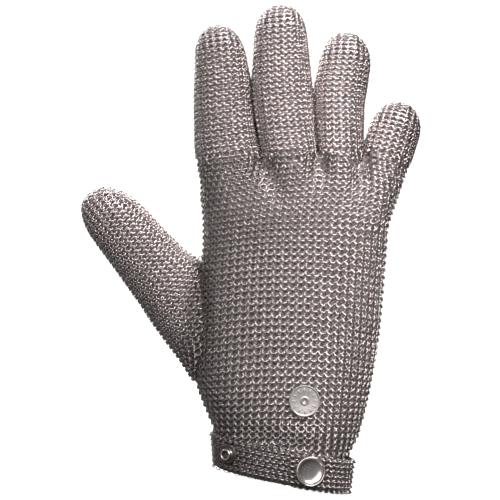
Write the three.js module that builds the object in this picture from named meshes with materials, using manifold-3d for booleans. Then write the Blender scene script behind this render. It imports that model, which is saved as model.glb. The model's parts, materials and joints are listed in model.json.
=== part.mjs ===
// A butcher's five-finger glove of steel ring mail, in the form that it has on the hand.
// The mail is a thin hollow wall: one hand piece, open at the wrist, and five stalls that it carries.
// A mail strap goes once round the wrist and closes on itself with a pressed snap.
// Millimetres. +Z runs up to the fingertips, the back of the hand faces -Y, and the thumb is on the -X side.
// The origin is the middle of the wrist opening.
import * as THREE from 'three';
import { mergeVertices } from 'three/addons/utils/BufferGeometryUtils.js';
import Module from 'manifold-3d';

const wasm = await Module();
wasm.setup();

// Driving sizes of the mail
const mailThickness = 2.2; // two leaning links, one behind the other
const clearance = 0.3; // between pieces that lie on each other

// Driving sizes of the hand
const handLength = 152; // wrist hem to the plane where the finger stalls begin
const handWidth = 88; // across the palm below the knuckles
const handDepth = 40; // through the heel of the hand
const hemLean = 10.5; // degrees that the hem drops towards the little finger
const sectionSquareness = 2.35; // 2 is an ellipse, more is squarer

// Sections of the hand, from the hem up. up is a share of handLength, left and right of handWidth,
// back and palm of handDepth, and lean of hemLean.
const handSections = [
  { up: 0.0, left: 0.35, right: 0.33, back: 0.5, palm: 0.5, lean: 1.0 },
  { up: 0.055, left: 0.358, right: 0.342, back: 0.49, palm: 0.495, lean: 1.0 },
  { up: 0.12, left: 0.37, right: 0.36, back: 0.478, palm: 0.49, lean: 1.0 },
  { up: 0.185, left: 0.417, right: 0.416, back: 0.528, palm: 0.525, lean: 0.95 },
  { up: 0.25, left: 0.462, right: 0.448, back: 0.535, palm: 0.56, lean: 0.85 },
  { up: 0.33, left: 0.476, right: 0.482, back: 0.52, palm: 0.58, lean: 0.65 },
  { up: 0.43, left: 0.466, right: 0.516, back: 0.49, palm: 0.57, lean: 0.4 },
  { up: 0.53, left: 0.456, right: 0.54, back: 0.465, palm: 0.54, lean: 0.18 },
  { up: 0.64, left: 0.45, right: 0.556, back: 0.435, palm: 0.505, lean: 0.05 },
  { up: 0.74, left: 0.432, right: 0.572, back: 0.415, palm: 0.47, lean: 0.0 },
  { up: 0.83, left: 0.432, right: 0.585, back: 0.385, palm: 0.43, lean: 0.0 },
  { up: 0.91, left: 0.452, right: 0.575, back: 0.305, palm: 0.345, lean: 0.0 },
  { up: 0.965, left: 0.44, right: 0.54, back: 0.21, palm: 0.25, lean: 0.0 },
  { up: 0.985, left: 0.38, right: 0.48, back: 0.13, palm: 0.16, lean: 0.0 },
];

// Folds and dents in the back of the hand, as soft hollows. across is a share of handWidth from the middle,
// up of handLength, reach_across and reach_up are their half sizes as the same shares, and sink is of handDepth.
const handDents = [
  { across: -0.13, up: 0.142, reach_across: 0.19, reach_up: 0.024, sink: 0.085 },
  { across: 0.12, up: 0.128, reach_across: 0.2, reach_up: 0.02, sink: 0.04 },
  { across: 0.16, up: 0.79, reach_across: 0.075, reach_up: 0.045, sink: 0.045 },
];

// The digits. root_across and root_up place the root as shares of handWidth and handLength, lean is degrees
// from +Z towards +X, and stall is the share of the length where the stall leaves the hand, or null where
// the hand's own wall ends it. sink and curl move the digit towards the palm, at the root and at the tip.
// In the rows, along and dome are shares of length, wide and drift of width, and deep of depth.
const digits = [
  {
    name: 'index_finger', root_across: -0.213, root_up: 0.81, length: 97.4, lean: -7.2,
    width: 24.5, depth: 23, sink: 1.0, curl: 8, dome: 0.155, stall: 'level',
    rows: [
      { along: 0.0, wide: 1.18, deep: 1.28, drift: -0.03 },
      { along: 0.296, wide: 1.32, deep: 1.05, drift: -0.1 },
      { along: 0.419, wide: 1.24, deep: 1.02, drift: -0.132 },
      { along: 0.591, wide: 1.16, deep: 1.02, drift: -0.1 },
      { along: 0.695, wide: 1.13, deep: 1.0, drift: -0.062 },
      { along: 0.813, wide: 1.02, deep: 0.95, drift: -0.04 },
      { along: 0.9, wide: 0.96, deep: 0.9, drift: -0.04 },
      { along: 1.0, wide: 0.92, deep: 0.86, drift: -0.06 },
    ],
  },
  {
    name: 'middle_finger', root_across: 0.077, root_up: 0.81, length: 106.6, lean: -4.4,
    width: 26, depth: 23.5, sink: 0.5, curl: 9, dome: 0.135, stall: 'level',
    rows: [
      { along: 0.0, wide: 0.96, deep: 1.28, drift: 0.0 },
      { along: 0.271, wide: 1.02, deep: 1.04, drift: 0.01 },
      { along: 0.385, wide: 1.07, deep: 1.04, drift: -0.037 },
      { along: 0.543, wide: 1.13, deep: 1.03, drift: -0.07 },
      { along: 0.638, wide: 1.12, deep: 1.01, drift: -0.068 },
      { along: 0.783, wide: 1.02, deep: 0.95, drift: -0.035 },
      { along: 0.88, wide: 0.97, deep: 0.9, drift: -0.018 },
      { along: 1.0, wide: 0.92, deep: 0.86, drift: 0.0 },
    ],
  },
  {
    name: 'ring_finger', root_across: 0.289, root_up: 0.81, length: 94.0, lean: 2.35,
    width: 24.5, depth: 22.5, sink: 1.0, curl: 14, dome: 0.17, stall: 'level',
    rows: [
      { along: 0.0, wide: 0.84, deep: 1.28, drift: 0.0 },
      { along: 0.308, wide: 0.84, deep: 1.03, drift: 0.075 },
      { along: 0.487, wide: 0.92, deep: 1.02, drift: 0.03 },
      { along: 0.615, wide: 0.98, deep: 1.0, drift: -0.008 },
      { along: 0.708, wide: 1.05, deep: 0.99, drift: 0.006 },
      { along: 0.846, wide: 1.02, deep: 0.93, drift: 0.075 },
      { along: 1.0, wide: 0.96, deep: 0.86, drift: 0.09 },
    ],
  },
  {
    name: 'little_finger', root_across: 0.458, root_up: 0.81, length: 62.2, lean: 15.8,
    width: 23.6, depth: 20.5, sink: 1.5, curl: 13, dome: 0.225, stall: 0.5,
    rows: [
      { along: 0.0, wide: 0.86, deep: 1.28, drift: 0.0 },
      { along: 0.363, wide: 0.92, deep: 1.0, drift: 0.04 },
      { along: 0.605, wide: 1.03, deep: 1.0, drift: 0.04 },
      { along: 0.798, wide: 1.04, deep: 0.95, drift: 0.06 },
      { along: 1.0, wide: 0.94, deep: 0.88, drift: 0.09 },
    ],
  },
  {
    name: 'thumb', root_across: -0.261, root_up: 0.352, length: 110.3, lean: -39.5,
    width: 30, depth: 25.5, sink: 4.0, curl: 5, dome: 0.212, stall: null,
    rows: [
      { along: 0.0, wide: 0.84, deep: 0.9, drift: -0.15 },
      { along: 0.087, wide: 1.06, deep: 1.03, drift: -0.11 },
      { along: 0.174, wide: 1.1, deep: 1.08, drift: -0.05 },
      { along: 0.392, wide: 1.2, deep: 1.1, drift: 0.05 },
      { along: 0.477, wide: 1.18, deep: 1.06, drift: 0.08 },
      { along: 0.544, wide: 1.087, deep: 1.03, drift: 0.05 },
      { along: 0.667, wide: 1.013, deep: 1.0, drift: 0.045 },
      { along: 0.788, wide: 0.96, deep: 0.96, drift: 0.04 },
      { along: 1.0, wide: 0.94, deep: 0.92, drift: 0.0 },
    ],
  },
];

// Driving sizes of the strap
const strapHeight = 17.6;
const strapThickness = 2.0;
const strapAboveHem = 1.2;
const strapUnderEnd = 25; // mm right of the middle, where the covered end stops
const strapOuterEnd = 3.2; // mm right of the middle, where the end with the snap stops
const strapRampLength = 34; // along the wrist, over which the outer end rises onto the covered one

// Driving sizes of the hardware
const capRadius = 6.9;
const capHeight = 2.6;
const capRim = 0.95; // width of the rolled rim
const capDish = 1.15; // how far the middle lies below the rim
const capAcross = 12.4; // mm right of the middle
const capPostRadius = 2.0;
const studRadius = 2.6;
const studBore = 1.75;
const studHeight = 3.0;
const studFlangeRadius = 4.5;
const studFlangeThickness = 0.7;
const studAcross = -25.6; // mm right of the middle, so on the thumb's side
const rivetRadius = 1.2;
const washerRadius = 3.2;
const washerThickness = 0.7;
const snapHeight = 8.9; // both snaps' middle above the strap's lower edge
const discRadius = 7.3;
const discThickness = 1.0;
const discRim = 0.55;
const discRelief = 0.22; // how far the rim and the marks stand up
const discMarks = 12;
const discRivetRadius = 1.75;
const discRivetBore = 1.05;
const discAcross = 10.0;
const discUp = 0.276; // share of handLength

// How finely the forms are lofted
const outerSides = { hand: 40, digit: 22 };
const innerSides = { hand: 24, digit: 13 };
const strapSides = 42;
const roundSides = 24;

const mailColour = 0x6f6765;

const radians = THREE.MathUtils.degToRad;

// The share of handLength that lies a given height above the leaning hem.
const upAt = (height) => height / (handLength * Math.cos(radians(hemLean)));

// Where the strap's faces are bent from edge to edge, and the hand's with them.
const strapLevels = [0, 0.35, 0.7, 1].map((share) => upAt(strapAboveHem + share * strapHeight));

// Values of a table's columns at any place, on a smooth curve through its rows.
function columnsAt(rows, key, place) {
  const columns = Object.keys(rows[0]).filter((name) => name !== key);
  const places = rows.map((row) => row[key]);
  const values = rows.flatMap((row) => columns.map((name) => row[name]));
  const curve = new THREE.CubicInterpolant(places, values, columns.length);
  const found = curve.evaluate(THREE.MathUtils.clamp(place, places[0], places.at(-1)));
  return Object.fromEntries(columns.map((name, i) => [name, found[i]]));
}

// One coordinate of a rounded section with its own reach on each side.
function squareRound(cosine, positiveReach, negativeReach) {
  const reach = cosine >= 0 ? positiveReach : negativeReach;
  return Math.sign(cosine) * reach * Math.abs(cosine) ** (2 / sectionSquareness);
}

// A closed solid through rings of points, which run anticlockwise seen from the last ring.
function loft(rings) {
  const sides = rings[0].length;
  const points = rings.flat();
  const faces = [];
  for (let r = 0; r + 1 < rings.length; r++) {
    for (let s = 0; s < sides; s++) {
      const here = r * sides + s;
      const next = r * sides + ((s + 1) % sides);
      faces.push([here, next, next + sides], [here, next + sides, here + sides]);
    }
  }
  for (const [ring, first] of [[rings[0], true], [rings.at(-1), false]]) {
    const middle = ring.reduce((sum, p) => sum.add(p), new THREE.Vector3()).divideScalar(sides);
    const centre = points.push(middle) - 1;
    const start = first ? 0 : (rings.length - 1) * sides;
    for (let s = 0; s < sides; s++) {
      const here = start + s;
      const next = start + ((s + 1) % sides);
      faces.push(first ? [centre, next, here] : [centre, here, next]);
    }
  }
  const vertProperties = new Float32Array(points.flatMap((p) => p.toArray()));
  const triVerts = new Uint32Array(faces.flat());
  return new wasm.Manifold(new wasm.Mesh({ numProp: 3, vertProperties, triVerts }));
}

// A three.js geometry, moved by a matrix, as a solid for joining and cutting.
function solidOf(geometry, matrix = new THREE.Matrix4()) {
  const bare = geometry.clone().applyMatrix4(matrix);
  bare.deleteAttribute('normal');
  bare.deleteAttribute('uv');
  const merged = mergeVertices(bare, 1e-4);
  const whole = [];
  const index = merged.index.array;
  for (let i = 0; i < index.length; i += 3) {
    const [a, b, c] = index.slice(i, i + 3);
    if (a !== b && b !== c && c !== a) whole.push(a, b, c);
  }
  const mesh = { numProp: 3, vertProperties: merged.attributes.position.array, triVerts: new Uint32Array(whole) };
  return new wasm.Manifold(new wasm.Mesh(mesh));
}

// A solid as a three.js geometry.
function geometryOf(solid) {
  const mesh = solid.getMesh();
  const geometry = new THREE.BufferGeometry();
  geometry.setAttribute('position', new THREE.BufferAttribute(Float32Array.from(mesh.vertProperties), 3));
  geometry.setIndex(new THREE.BufferAttribute(Uint32Array.from(mesh.triVerts), 1));
  const faceted = geometry.toNonIndexed();
  faceted.computeVertexNormals();
  return faceted;
}

// How far the folds sink the back of the hand at a place.
function dentAt(x, up) {
  const depths = handDents.map((dent) => {
    const across = (x / handWidth - dent.across) / dent.reach_across;
    const along = (up - dent.up) / dent.reach_up;
    return dent.sink * handDepth * Math.exp(-across * across - along * along);
  });
  return depths.reduce((sum, depth) => sum + depth, 0);
}

// A point of the hand's surface at a share of its length and an angle round it, moved outwards by offset.
// Angle 0 is the little finger's side and -90 degrees the back of the hand.
function handPoint(up, angle, offset = 0) {
  const section = columnsAt(handSections, 'up', up);
  const cosine = Math.cos(angle);
  const sine = Math.sin(angle);
  const x = squareRound(cosine, section.right * handWidth + offset, section.left * handWidth + offset);
  let y = squareRound(sine, section.palm * handDepth + offset, section.back * handDepth + offset);
  if (sine < 0) y += dentAt(x, up) * Math.abs(sine) ** 0.5;
  const slope = Math.tan(radians(section.lean * hemLean));
  return new THREE.Vector3(x, y, up * handLength - x * slope);
}

// The hand's form as a closed solid, taken in by inset. belowHem carries it past the hem.
function handForm(sides, inset, belowHem) {
  const rings = [];
  const top = handSections.at(-1).up - inset / handLength;
  const rowUps = handSections.map((row) => Math.min(row.up, top));
  const bends = inset > 0 ? [] : strapLevels;
  const ups = [...rowUps, ...bends].sort((a, b) => a - b);
  const ring = (up, drop = 0) => Array.from({ length: sides }, (_, s) => {
    const point = handPoint(up, (2 * Math.PI * s) / sides, -inset);
    point.z -= drop;
    return point;
  });
  if (belowHem > 0) rings.push(ring(0, belowHem));
  let last = -1;
  for (const up of ups) {
    if (up > last + 0.005) rings.push(ring(up));
    last = Math.max(last, up);
  }
  return loft(rings);
}

// A digit's root, and its directions along and across.
function digitFrame(digit) {
  const lean = radians(digit.lean);
  return {
    root: new THREE.Vector3(digit.root_across * handWidth, digit.sink, digit.root_up * handLength),
    along: new THREE.Vector3(Math.sin(lean), 0, Math.cos(lean)),
    across: new THREE.Vector3(Math.cos(lean), 0, -Math.sin(lean)),
  };
}

// A digit's form as a closed solid with a domed tip, taken in by inset.
function digitForm(digit, sides, inset) {
  const { root, along, across } = digitFrame(digit);
  const domeLength = digit.dome * digit.length - inset;
  const domeStart = digit.length * (1 - digit.dome);
  const bodyPlaces = digit.rows.map((row) => row.along * digit.length).filter((place) => place < domeStart);
  const domeAngles = [0, 20, 38, 54, 68, 80].map(radians);
  const stations = [
    ...bodyPlaces.map((place) => ({ place, close: 1 })),
    ...domeAngles.map((angle) => ({
      place: domeStart + domeLength * Math.sin(angle),
      close: Math.cos(angle) ** 0.86,
    })),
  ];
  const rings = stations.map(({ place, close }) => {
    const share = place / digit.length;
    const row = columnsAt(digit.rows, 'along', share);
    const halfWide = close * ((row.wide * digit.width) / 2 - inset);
    const halfDeep = close * ((row.deep * digit.depth) / 2 - inset);
    const middle = root.clone()
      .addScaledVector(along, place)
      .addScaledVector(across, row.drift * digit.width);
    middle.y += digit.curl * share * share;
    return Array.from({ length: sides }, (_, s) => {
      const angle = (2 * Math.PI * s) / sides;
      const point = middle.clone().addScaledVector(across, squareRound(Math.cos(angle), halfWide, halfWide));
      point.y += squareRound(Math.sin(angle), halfDeep, halfDeep);
      return point;
    });
  });
  return loft(rings);
}

// The space above the plane where a digit's stall leaves the hand, moved along the digit by shift.
function stallSpace(digit, shift) {
  const { root, along, across } = digitFrame(digit);
  const level = digit.stall === 'level';
  const reach = 2 * digit.length;
  const up = level ? new THREE.Vector3(0, 0, 1) : along;
  const side = level ? new THREE.Vector3(1, 0, 0) : across;
  const start = root.clone().addScaledVector(along, level ? 0 : digit.stall * digit.length);
  if (level) start.z = handLength;
  start.addScaledVector(up, shift + reach / 2);
  const place = new THREE.Matrix4().makeBasis(side, new THREE.Vector3(0, 1, 0), up).setPosition(start);
  const box = new THREE.BoxGeometry(2 * digit.width, 4 * digit.depth, reach);
  return solidOf(box, place);
}

// The mail: a hand piece and its five stalls
const forms = digits.map((digit) => ({
  digit,
  outer: digitForm(digit, outerSides.digit, 0),
  grown: digitForm(digit, outerSides.digit, -clearance),
  inner: digitForm(digit, innerSides.digit, mailThickness),
}));
const handOuter = handForm(outerSides.hand, 0, 0);
const handGrown = handForm(outerSides.hand, -clearance, mailThickness);
const handInner = handForm(innerSides.hand, mailThickness, mailThickness);

const stalls = forms.map(({ digit, outer, inner }, i) => {
  let stall = outer.subtract(inner);
  stall = digit.stall === null ? stall.subtract(handGrown) : stall.intersect(stallSpace(digit, clearance));
  for (const neighbour of forms.slice(0, i)) {
    stall = stall.subtract(neighbour.grown);
  }
  const whole = stall.decompose().sort((a, b) => b.volume() - a.volume())[0];
  return { name: digit.name, solid: whole };
});

let hand = handOuter;
for (const { digit, outer } of forms) {
  if (digit.stall !== null) hand = hand.add(outer.subtract(stallSpace(digit, 0)));
}
hand = hand.subtract(handInner);
for (const { digit, inner, grown } of forms) {
  hand = hand.subtract(inner);
  if (digit.stall !== null) hand = hand.subtract(grown.intersect(stallSpace(digit, 0)));
}
hand = hand.decompose().sort((a, b) => b.volume() - a.volume())[0];

// The angle round the hand, on its back, of a point so far right of the middle.
function backAngle(up, across, offset) {
  const section = columnsAt(handSections, 'up', up);
  const reach = (across >= 0 ? section.right : section.left) * handWidth + offset;
  const cosine = Math.sign(across) * Math.min(1, Math.abs(across) / reach) ** (sectionSquareness / 2);
  return -Math.acos(cosine);
}

// A place on the back of the hand, moved outwards by offset: its matrix has Y along the outward normal.
function seatOnBack(up, across, offset) {
  const angle = backAngle(up, across, offset);
  const small = 0.01;
  const point = handPoint(up, angle, offset);
  const round = handPoint(up, angle + small, offset).sub(handPoint(up, angle - small, offset)).normalize();
  const rise = handPoint(up + small, angle, offset).sub(handPoint(up - small, angle, offset)).normalize();
  const normal = round.clone().cross(rise).normalize();
  if (normal.y > 0) normal.negate();
  const side = normal.clone().cross(rise).normalize();
  const upwards = side.clone().cross(normal);
  return new THREE.Matrix4().makeBasis(side, normal, upwards).setPosition(point);
}

// The strap as a closed solid: a band that winds once round the wrist and rises onto its own covered end.
function strapForm() {
  const middle = (strapLevels[0] + strapLevels.at(-1)) / 2;
  const first = backAngle(middle, strapUnderEnd, clearance);
  const turn = -2 * Math.PI;
  const crossing = first + turn;
  const last = turn + backAngle(middle, strapOuterEnd, clearance);
  const rampStart = crossing + strapRampLength / (handWidth * 0.35);
  const places = [];
  const steps = Math.round((first - last) / (2 * Math.PI / strapSides));
  for (let i = 0; i <= steps; i++) {
    places.push(THREE.MathUtils.lerp(first, last, i / steps));
  }
  const rings = places.map((angle) => {
    const rise = THREE.MathUtils.smootherstep(-angle, -rampStart, -crossing - 0.02);
    const inner = clearance + rise * (strapThickness + clearance);
    return [
      ...strapLevels.map((up) => handPoint(up, angle, inner + strapThickness)),
      ...strapLevels.toReversed().map((up) => handPoint(up, angle, inner)),
    ];
  });
  return loft(rings);
}

// A solid turned from a profile of [radius, height] round the outward axis of a seat.
function turned(profile, sides, seat) {
  const points = profile.map(([radius, height]) => new THREE.Vector2(radius, height));
  return solidOf(new THREE.LatheGeometry(points, sides), seat);
}

// A plain round bar along the outward axis of a seat, between two heights.
function roundBar(radius, low, high, sides, seat) {
  return turned([[0, low], [radius, low], [radius, high], [0, high]], sides, seat);
}

const upOfSnaps = upAt(strapAboveHem + snapHeight);
const coveredFace = clearance + strapThickness; // outer face of the strap's single layer
const doubleFace = 2 * coveredFace; // outer face where the strap lies on itself

// The snap cap: a pressed dish with a rolled rim, on a hollow post that goes through both layers of the strap
const capSeat = seatOnBack(upOfSnaps, capAcross, doubleFace + clearance);
const capFloor = capHeight - capDish;
const cap = turned([
  [0, 0],
  [capRadius - 0.35, 0],
  [capRadius, 0.45],
  [capRadius, capHeight - 0.6],
  [capRadius - 0.25, capHeight - 0.12],
  [capRadius - capRim / 2, capHeight],
  [capRadius - capRim, capHeight - 0.15],
  [capRadius - capRim - 0.2, capHeight - 0.5],
  [capRadius * 0.66, capFloor + 0.12],
  [capRadius * 0.4, capFloor],
  [0, capFloor],
], roundSides, capSeat);
const capPostLength = doubleFace + clearance - 2 * clearance;
const capPiece = cap.add(roundBar(capPostRadius, -capPostLength, 0.2, 20, capSeat));

// The unused stud: a ring on a flange, riveted through the covered layer
const studSeat = seatOnBack(upOfSnaps, studAcross, coveredFace + clearance);
const stud = turned([
  [0, 0],
  [studFlangeRadius, 0],
  [studFlangeRadius, studFlangeThickness * 0.6],
  [studFlangeRadius - 0.3, studFlangeThickness],
  [studRadius - 0.15, studFlangeThickness],
  [studRadius - 0.25, studHeight * 0.55],
  [studRadius, studHeight * 0.8],
  [studRadius - 0.25, studHeight],
  [studBore, studHeight],
  [studBore - 0.15, studHeight * 0.75],
  [studBore - 0.15, studFlangeThickness],
  [0, studFlangeThickness],
], 20, studSeat);
const studPost = roundBar(rivetRadius, -strapThickness, 0.2, 16, studSeat);
const studPiece = stud.add(studPost);

// The disc: a plate with a raised rim, marks round it and a hollow rivet that holds it to the mail
const discSeat = seatOnBack(discUp, discAcross, clearance);
const discTop = discThickness + discRelief;
let disc = turned([
  [0, 0],
  [discRadius - 0.2, 0],
  [discRadius, 0.3],
  [discRadius, discTop - 0.15],
  [discRadius - 0.15, discTop],
  [discRadius - discRim, discTop],
  [discRadius - discRim - 0.15, discThickness],
  [discRivetRadius + 0.15, discThickness],
  [discRivetRadius, discThickness + 0.55],
  [discRivetRadius - 0.3, discThickness + 0.7],
  [discRivetBore, discThickness + 0.5],
  [discRivetBore - 0.25, discThickness * 0.45],
  [0, discThickness * 0.45],
], roundSides, discSeat);
for (let i = 0; i < discMarks; i++) {
  const turn = new THREE.Matrix4().makeRotationY((2 * Math.PI * i) / discMarks);
  const shift = new THREE.Matrix4().makeTranslation(discRadius * 0.7, discTop - 0.3, 0);
  const mark = new THREE.BoxGeometry(discRadius * 0.19, 0.6, discRadius * 0.055);
  disc = disc.add(solidOf(mark, discSeat.clone().multiply(turn).multiply(shift)));
}
const washerBack = clearance + mailThickness + clearance + washerThickness;
const discPiece = disc
  .add(roundBar(rivetRadius, -washerBack - clearance + washerThickness / 2, 0.2, 16, discSeat))
  .add(roundBar(washerRadius, -washerBack - clearance, -washerBack - clearance + washerThickness, 20, discSeat));

const throughCap = roundBar(capPostRadius + clearance, -doubleFace - 1, 1, 20, capSeat);
const throughStud = roundBar(rivetRadius + clearance, -coveredFace - 1, 1, 16, studSeat);
const throughDisc = roundBar(rivetRadius + clearance, -washerBack - 1, 1, 16, discSeat);
const strap = strapForm().subtract(throughCap).subtract(throughStud);
hand = hand.subtract(throughDisc);

const group = new THREE.Group();
const addPiece = (name, solid, color, roughness) => {
  const material = new THREE.MeshStandardMaterial({ color, metalness: 0.9, roughness });
  const mesh = new THREE.Mesh(geometryOf(solid), material);
  mesh.name = name;
  group.add(mesh);
};

addPiece('hand', hand, mailColour, 0.42);
for (const stall of stalls) addPiece(stall.name, stall.solid, mailColour, 0.42);
addPiece('wrist_strap', strap, mailColour, 0.42);
addPiece('snap_cap', capPiece, 0xb9b2af, 0.12);
addPiece('ring_stud', studPiece, 0x9a9391, 0.25);
addPiece('badge_disc', discPiece, 0xc2bbb8, 0.45);

export default group;
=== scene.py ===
"""A butcher's glove of steel ring mail: every ring, the strap's hardware, and a plain studio."""
import json
import math

import bmesh
import bpy
import numpy as np
from mathutils import Matrix, Vector
from mathutils.bvhtree import BVHTree

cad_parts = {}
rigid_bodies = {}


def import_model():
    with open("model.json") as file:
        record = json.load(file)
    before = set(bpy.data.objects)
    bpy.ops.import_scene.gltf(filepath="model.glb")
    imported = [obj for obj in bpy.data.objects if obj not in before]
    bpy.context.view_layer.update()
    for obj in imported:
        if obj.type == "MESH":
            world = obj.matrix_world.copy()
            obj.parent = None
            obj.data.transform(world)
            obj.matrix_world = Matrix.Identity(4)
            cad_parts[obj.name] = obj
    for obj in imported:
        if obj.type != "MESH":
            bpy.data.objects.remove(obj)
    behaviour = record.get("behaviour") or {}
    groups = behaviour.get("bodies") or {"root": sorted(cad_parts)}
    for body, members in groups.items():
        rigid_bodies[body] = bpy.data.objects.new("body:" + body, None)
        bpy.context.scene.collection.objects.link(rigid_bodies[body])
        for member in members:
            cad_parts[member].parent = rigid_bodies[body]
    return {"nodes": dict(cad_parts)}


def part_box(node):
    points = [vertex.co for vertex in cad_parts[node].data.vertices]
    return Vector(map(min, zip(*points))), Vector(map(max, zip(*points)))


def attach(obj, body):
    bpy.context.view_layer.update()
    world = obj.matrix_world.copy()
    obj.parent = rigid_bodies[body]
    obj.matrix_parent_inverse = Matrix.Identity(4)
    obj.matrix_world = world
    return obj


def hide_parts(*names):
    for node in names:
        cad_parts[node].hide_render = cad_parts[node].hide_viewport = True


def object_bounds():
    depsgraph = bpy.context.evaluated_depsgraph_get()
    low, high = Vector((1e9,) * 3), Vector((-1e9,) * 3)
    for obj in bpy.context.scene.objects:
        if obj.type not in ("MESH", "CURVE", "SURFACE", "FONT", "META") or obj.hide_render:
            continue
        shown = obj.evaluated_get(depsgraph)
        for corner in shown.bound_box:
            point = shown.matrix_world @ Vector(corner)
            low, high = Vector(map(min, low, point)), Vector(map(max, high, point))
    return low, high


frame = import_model()
nodes = frame["nodes"]
cad_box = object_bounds()

bl_info = {
    "name": "Ring mail glove",
    "version": (1, 0, 0),
    "blender": (4, 5, 0),
    "location": "View3D > Sidebar > Glove",
    "description": "Weaves a five-finger glove of steel rings with its strap, snap, stud and disc",
    "category": "Mesh",
}

MM = 0.001

# Sides of a ring and of its wire.
RING_SIDES, WIRE_SIDES = 8, 5

# Places round a row that are charted on the hand and the strap, and on a stall.
WIDE_SAMPLES, STALL_SAMPLES = 192, 96

# The dark inner layers: their thickness, how far inside the surface they lie and the step of their
# rows. How near to the middle of a laid ring another may be laid. Metres.
WALL = 0.0003
INSET = {"hand": 0.0017, "stall": 0.0019, "strap": 0.0014}
LAYER_STEP = {"hand": 0.003, "stall": 0.0025, "strap": 0.002}
CLEAR, SEAM_CLEAR = 0.0019, 0.0021

# Steel of the pieces that are no stalls: bright is how much brighter the steel is painted, a painted
# light, and the gradient after it paints shade as in the next table. inner is how much darker or
# brighter the layer inside is; that layer's darkness is partly painted shade of the far links, and the
# hand's has a gradient of painted shade too.
STEEL = {
    "hand": {"bright": 1.13, "painted_shading": (-9.0, -0.5, 0.4), "inner": 0.94, "inner_painted_shading": (-12.0, -1.0, 0.66)},
    "web": {"bright": 0.8, "painted_shading": (0.0, 0.0, 0.4), "inner": 0.35},
    "strap": {"bright": 1.28, "painted_shading": (-19.0, 0.0, 0.62), "inner": 0.3},
}
# How bright the stalls' inner layer is; its darkness is partly painted shade of the far links.
STALL_INNER = 0.75

# The fold at the seam of the thumb, where shade is painted onto the steel: its middle and reach along X and
# Z. Metres.
FOLD_SHADE = {"X": (-0.0405, 0.009), "Z": (0.083, 0.034)}

# The five stalls. root is where a stall's line begins and lean its angle from +Z towards +X. reach and
# deep are half sizes to look within, and curl is how far the tip bends to the palm side. bright is how
# much brighter its steel is painted, a painted light, and the gradient after it how its painted shade
# grows with X and Z and what it is at the origin. Millimetres, degrees and metres.
STALLS = {
    "index_finger": {"root": (-18.7, 1.0, 123.1), "length": 97.4, "lean": -7.2, "reach": 17.0,
                     "deep": 13.0, "curl": 8.0, "bright": 1.5, "painted_shading": (-10.0, -1.5, 0.38)},
    "middle_finger": {"root": (6.8, 0.5, 123.1), "length": 106.6, "lean": -4.4, "reach": 15.5,
                      "deep": 13.0, "curl": 9.0, "bright": 1.5, "painted_shading": (-5.0, -1.1, 0.37)},
    "ring_finger": {"root": (25.4, 1.0, 123.1), "length": 94.0, "lean": 2.35, "reach": 13.5,
                    "deep": 12.5, "curl": 14.0, "bright": 1.6, "painted_shading": (20.0, 0.0, -0.42)},
    "little_finger": {"root": (40.3, 1.5, 123.1), "length": 62.2, "lean": 15.8, "reach": 13.5,
                      "deep": 11.5, "curl": 13.0, "bright": 1.72, "painted_shading": (34.0, 0.0, -1.5)},
    "thumb": {"root": (-23.0, 4.0, 53.5), "length": 110.3, "lean": -39.5, "reach": 20.0,
              "deep": 16.0, "curl": 5.0, "bright": 1.72, "painted_shading": (-15.0, -13.0, 0.87)},
}

# How the rows of the hand run: height on the middle line, their slope to the little finger's side and
# how far they drop away from the middle, per millimetre squared, with the pitch of the rows there.
HAND_ROWS = {
    "height": (0.0, 20.0, 40.0, 60.0, 85.0, 110.0, 126.0, 140.0, 152.0, 175.0),
    "slope": (0.0, 0.0, 0.0, 0.02, 0.0, 0.03, 0.055, 0.065, 0.065, 0.065),
    "drop": (0.001, 0.001, 0.0018, 0.0028, 0.0028, 0.0025, 0.0019, 0.0017, 0.0017, 0.0017),
    "pitch": (1.56, 1.56, 1.6, 1.66, 1.66, 1.66, 1.58, 1.5, 1.45, 1.44),
}

# The outline of the hand that its rows are charted within: heights, and both edges there. Millimetres.
HAND_EDGES = ((0, 20, 60, 100, 130, 155), (-31, -32, -38, -40, -38, -33), (31, 33, 44, 49, 50, 53))

# The hand's mail is two pieces on each face, parted at this height, and its rings lean less above the
# first of two heights. Metres.
HAND_SPLIT = 0.072
HAND_EASE = ((0.116, 0.134), (0.74, 0.6))

FINGERS = ("index_finger", "middle_finger", "ring_finger", "little_finger")

# The top row of the hand's mail, along which the stalls begin: its mark, and its height over that mark
# at places across the hand. In millimetres.
KNUCKLE_MARK = 157.0 * MM
KNUCKLE_LINE = (np.array((-35.0, -9.5, 16.0, 36.5, 39.5, 62.0)) * MM,
                np.array((-4.3, -1.07, 0.89, 0.05, 1.2, -5.2)) * MM)

# Furrows that run down from between the fingers: upper and lower end (across, height), depth and width.
FURROWS = (
    ((-9.4, 157.0), (0.6, 127.0), 3.4, 3.2),
    ((17.2, 157.0), (19.2, 141.0), 2.6, 2.8),
    ((38.4, 157.0), (35.4, 136.0), 2.8, 3.0),
)

# The web between the thumb and the index finger: the middle of its round notch, the notch's radius, the
# half sizes of its fold downwards, to the back and to the palm, and how far it turns to the thumb and to
# the hand. The seam below it is looked for between two heights and two places across. Millimetres and
# degrees.
WEB = {"middle": (-41.8, 5.0, 110.8), "notch": 4.0, "down": 5.0, "back": 8.5, "palm": 5.0,
       "turn": (-52.0, 76.0)}
SEAM = {"low": 50.0, "high": 102.5, "left": -56.0, "right": -12.0, "step": 0.5}

# The strap: how steeply it falls to the little finger's side, its rows, the heights of the lowest row
# and of the highest over it, where its outer layer begins across, and the marks of its inner layer.
# Degrees and metres.
STRAP = {"fall": 10.5, "rows": 13, "lowest": 0.0024, "height": 0.0145, "start": 0.0032,
         "inner": (0.0011, 0.0172)}

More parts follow.
